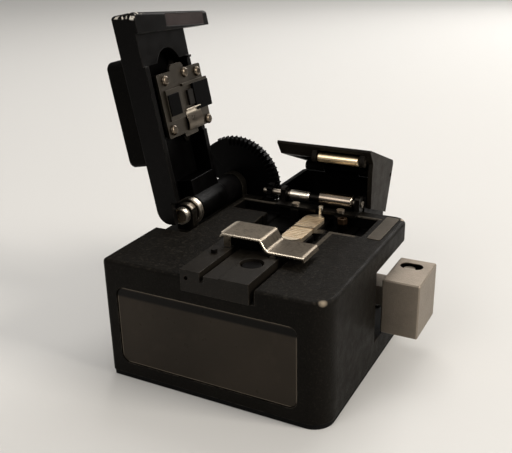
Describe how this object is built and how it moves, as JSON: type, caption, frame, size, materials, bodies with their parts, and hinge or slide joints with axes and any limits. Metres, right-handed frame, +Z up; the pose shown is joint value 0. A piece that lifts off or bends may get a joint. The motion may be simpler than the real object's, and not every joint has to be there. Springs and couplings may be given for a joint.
{
  "type": "fibre cleaver",
  "caption": "Bench tool that scores and breaks optical fibre: cast body, hinged clamp lid with a geared scrap roller, sliding blade carriage, fibre clip and scrap collector.",
  "frame": {"origin": "centre of the underside of the rubber mat under the body", "axes": "+Z up, -Y towards the user and the front label, +X towards the push block; the lid's hinge runs along Y at the left"},
  "size_m": [0.0916, 0.0858, 0.0972],
  "materials": {
    "casting_paint": "fine-texture powder coat",
    "lid_paint": "semi-gloss paint",
    "housing_plastic": "fine moulded texture",
    "base_steel": "satin",
    "mat_rubber": "matt",
    "label_gloss": "gloss",
    "adapter_anodised": "black anodised",
    "screw_black": "black oxide",
    "steel": "brushed",
    "bright_steel": "polished",
    "bed_nickel": "ribbed, nickel plated",
    "roller_steel": "ground",
    "brass": "satin",
    "aluminium": "bead blasted",
    "black_plastic": "satin",
    "cover_paint": "satin",
    "pad_rubber": "matt",
    "anvil_steel": "ground",
    "magnet_nickel": "dull nickel",
    "blade_steel": "ground edge"
  },
  "bodies": {
    "body": {"body_casting": "casting_paint", "base_plate": "base_steel", "base_screws": "screw_black", "rubber_mat": "mat_rubber", "label_plate": "label_gloss", "catch_plate": "steel", "adapter_block": "adapter_anodised", "adapter_screw": "screw_black", "stop_pin": "bright_steel", "clip_ears": "casting_paint", "clip_pin": "bright_steel", "fibre_bed": "bed_nickel", "guide_pin": "bright_steel", "brass_stud": "brass", "roller_bracket": "steel", "bracket_screws": "bright_steel", "roller_bushes": "brass", "guide_rods": "bright_steel", "rail_bracket": "base_steel", "collector_box": "black_plastic", "collector_screws": "screw_black", "collector_pin": "bright_steel"},
    "lid": {"hinge_axle": "bright_steel", "hinge_collar": "bright_steel", "hinge_sleeve": "black_plastic", "lid_gear": "black_plastic", "gear_nut": "bright_steel", "lid_shell": "lid_paint", "lid_magnet": "magnet_nickel", "lid_housing": "housing_plastic", "housing_screws": "screw_black", "clamp_plate": "steel", "clamp_screws": "bright_steel", "pad_holder": "steel", "front_pad": "pad_rubber", "rear_pad_block": "pad_rubber", "anvil": "anvil_steel", "spring_clip": "steel"},
    "scrap_roller": {"lower_roller": "roller_steel", "roller_shaft": "bright_steel", "roller_pinion": "black_plastic"},
    "blade_carriage": {"carriage": "aluminium", "push_block": "aluminium", "push_screw": "bright_steel", "blade_screw": "bright_steel"},
    "blade": {"blade_wheel": "blade_steel"},
    "clip": {"fibre_clip": "steel", "clip_pad": "pad_rubber"},
    "cover": {"collector_cover": "cover_paint", "upper_shaft": "bright_steel"},
    "pressure_roller": {"upper_roller": "brass"}
  },
  "joints": [
    {"name": "lid_hinge", "type": "hinge", "parent": "body", "child": "lid", "pos_m": [-0.0266, 0, 0.0386], "axis": [0, 1, 0], "range_deg": [0, 101]},
    {"name": "roller_spin", "type": "hinge", "parent": "body", "child": "scrap_roller", "pos_m": [0, 0.03, 0.0386], "axis": [-1, 0, 0], "range_deg": [0, 606]},
    {"name": "blade_slide", "type": "slide", "parent": "body", "child": "blade_carriage", "axis": [-1, 0, 0], "range_m": [0, 0.0105]},
    {"name": "blade_index", "type": "hinge", "parent": "blade_carriage", "child": "blade", "pos_m": [0.0126, 0.0135, 0.0273], "axis": [0, 1, 0], "continuous": true},
    {"name": "clip_lift", "type": "hinge", "parent": "body", "child": "clip", "pos_m": [0.0104, -0.0106, 0.0374], "axis": [0, 1, 0], "range_deg": [0, 8]},
    {"name": "cover_hinge", "type": "hinge", "parent": "body", "child": "cover", "pos_m": [0, 0.051, 0.042], "axis": [1, 0, 0], "range_deg": [-70, 22]},
    {"name": "pressure_roller_spin", "type": "hinge", "parent": "cover", "child": "pressure_roller", "pos_m": [0.01, 0.03209, 0.05126], "axis": [1, 0, 0], "continuous": true}
  ],
  "couplings": [
    {"joint": "roller_spin", "follows": "lid_hinge", "ratio": 6}
  ]
}
